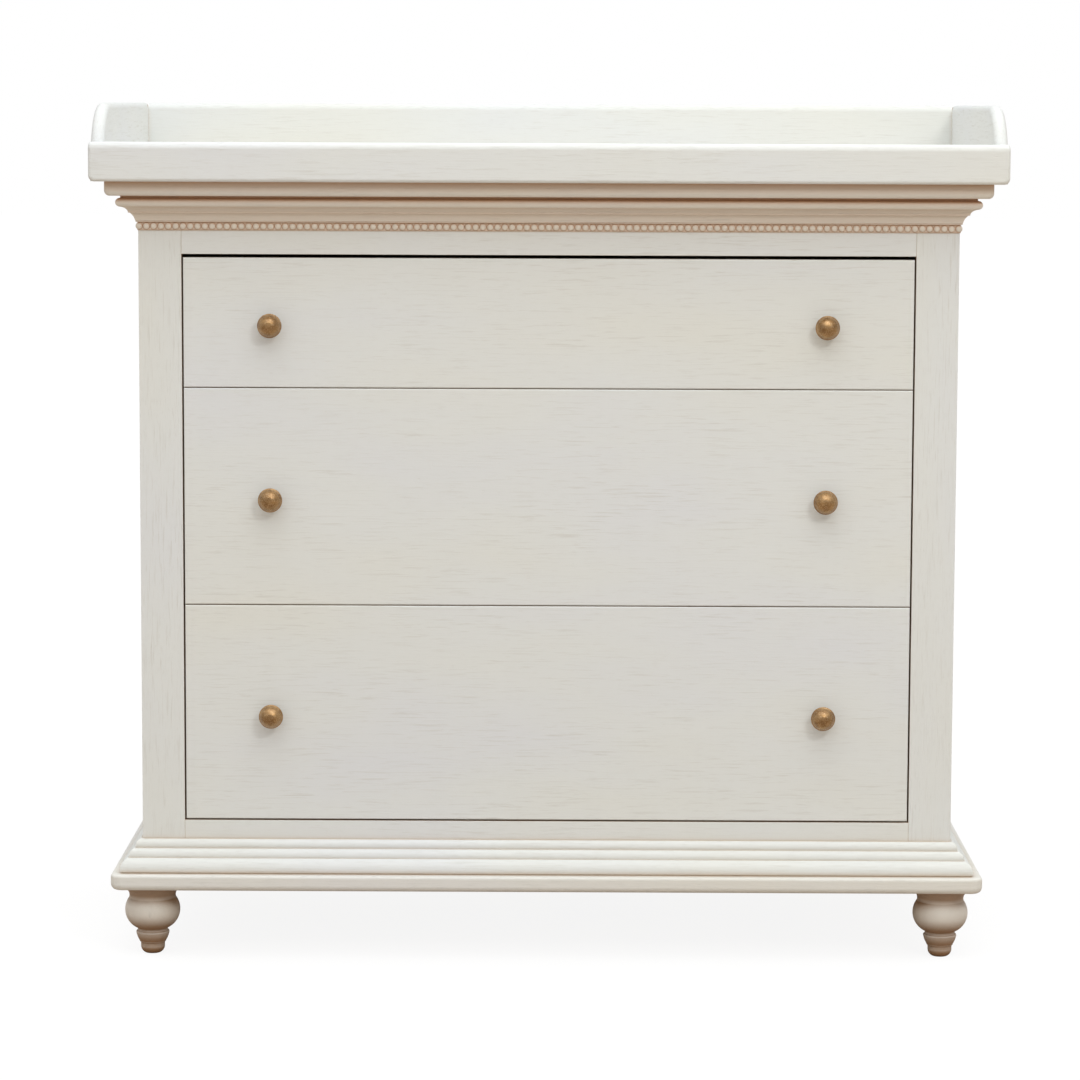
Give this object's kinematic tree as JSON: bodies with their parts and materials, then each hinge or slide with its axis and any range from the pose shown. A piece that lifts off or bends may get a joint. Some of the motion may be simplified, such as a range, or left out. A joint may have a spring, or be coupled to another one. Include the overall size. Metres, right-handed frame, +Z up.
{
  "type": "changing table",
  "caption": "Painted wooden nursery dresser with inset drawers on ball-bearing slides, a moulded cornice and base, turned feet, round knobs and a low-fronted changing tray on top.",
  "frame": {"origin": "on the floor, under the centre of the whole object's bounding box", "axes": "+Z up, +Y to the back of the dresser, +X to the right of a person facing the drawers"},
  "size_m": [1.064, 0.532, 1.009],
  "materials": {
    "painted_wood": "off-white lacquer over wire-brushed grain, satin",
    "raw_wood": "planed, unfinished",
    "drawer_box_wood": "clear sealed",
    "plywood": "smooth",
    "antique_brass": "antique bronze, satin",
    "slide_steel": "zinc plated",
    "zinc_steel": "zinc plated"
  },
  "bodies": {
    "cabinet": {"anti_tip_bracket": "zinc_steel", "back_panel": "plywood", "base_moulding_front": "painted_wood", "base_moulding_left": "painted_wood", "base_moulding_right": "painted_wood", "bead_strip_front": "painted_wood", "bead_strip_left": "painted_wood", "bead_strip_right": "painted_wood", "bottom_board": "raw_wood", "bottom_rail": "painted_wood", "cornice_front": "painted_wood", "cornice_left": "painted_wood", "cornice_right": "painted_wood", "divider_rails": "raw_wood", "foot_back_left": "painted_wood", "foot_back_right": "painted_wood", "foot_bolts": "zinc_steel", "foot_front_left": "painted_wood", "foot_front_right": "painted_wood", "front_stile_left": "painted_wood", "front_stile_right": "painted_wood", "plinth_slab": "painted_wood", "side_panel_left": "painted_wood", "side_panel_right": "painted_wood", "slide_cabinet_members": "slide_steel", "slide_packers": "raw_wood", "top_rail": "painted_wood", "top_slab": "painted_wood", "top_stretchers": "raw_wood", "tray_back_board": "painted_wood", "tray_brackets": "zinc_steel", "tray_cleats": "painted_wood", "tray_front_board": "painted_wood", "tray_side_left": "painted_wood", "tray_side_right": "painted_wood"},
    "upper_drawer": {"upper_drawer_bottom": "plywood", "upper_drawer_ends": "drawer_box_wood", "upper_drawer_front": "painted_wood", "upper_drawer_knob_screws": "zinc_steel", "upper_drawer_knobs": "antique_brass", "upper_drawer_sides": "drawer_box_wood", "upper_slide_drawer_members": "slide_steel"},
    "middle_drawer": {"middle_drawer_bottom": "plywood", "middle_drawer_ends": "drawer_box_wood", "middle_drawer_front": "painted_wood", "middle_drawer_knob_screws": "zinc_steel", "middle_drawer_knobs": "antique_brass", "middle_drawer_sides": "drawer_box_wood", "middle_slide_drawer_members": "slide_steel"},
    "lower_drawer": {"lower_drawer_bottom": "plywood", "lower_drawer_ends": "drawer_box_wood", "lower_drawer_front": "painted_wood", "lower_drawer_knob_screws": "zinc_steel", "lower_drawer_knobs": "antique_brass", "lower_drawer_sides": "drawer_box_wood", "lower_slide_drawer_members": "slide_steel"},
    "upper_slides": {"upper_slide_intermediate_members": "slide_steel"},
    "middle_slides": {"middle_slide_intermediate_members": "slide_steel"},
    "lower_slides": {"lower_slide_intermediate_members": "slide_steel"}
  },
  "joints": [
    {"name": "upper_drawer_slide", "type": "slide", "parent": "cabinet", "child": "upper_drawer", "axis": [0, -1, 0], "range_m": [0, 0.38]},
    {"name": "upper_slide_intermediate", "type": "slide", "parent": "cabinet", "child": "upper_slides", "axis": [0, -1, 0], "range_m": [0, 0.19]},
    {"name": "middle_drawer_slide", "type": "slide", "parent": "cabinet", "child": "middle_drawer", "axis": [0, -1, 0], "range_m": [0, 0.38]},
    {"name": "middle_slide_intermediate", "type": "slide", "parent": "cabinet", "child": "middle_slides", "axis": [0, -1, 0], "range_m": [0, 0.19]},
    {"name": "lower_drawer_slide", "type": "slide", "parent": "cabinet", "child": "lower_drawer", "axis": [0, -1, 0], "range_m": [0, 0.38]},
    {"name": "lower_slide_intermediate", "type": "slide", "parent": "cabinet", "child": "lower_slides", "axis": [0, -1, 0], "range_m": [0, 0.19]}
  ],
  "couplings": [
    {"joint": "upper_slide_intermediate", "follows": "upper_drawer_slide", "ratio": 0.5},
    {"joint": "middle_slide_intermediate", "follows": "middle_drawer_slide", "ratio": 0.5},
    {"joint": "lower_slide_intermediate", "follows": "lower_drawer_slide", "ratio": 0.5}
  ]
}
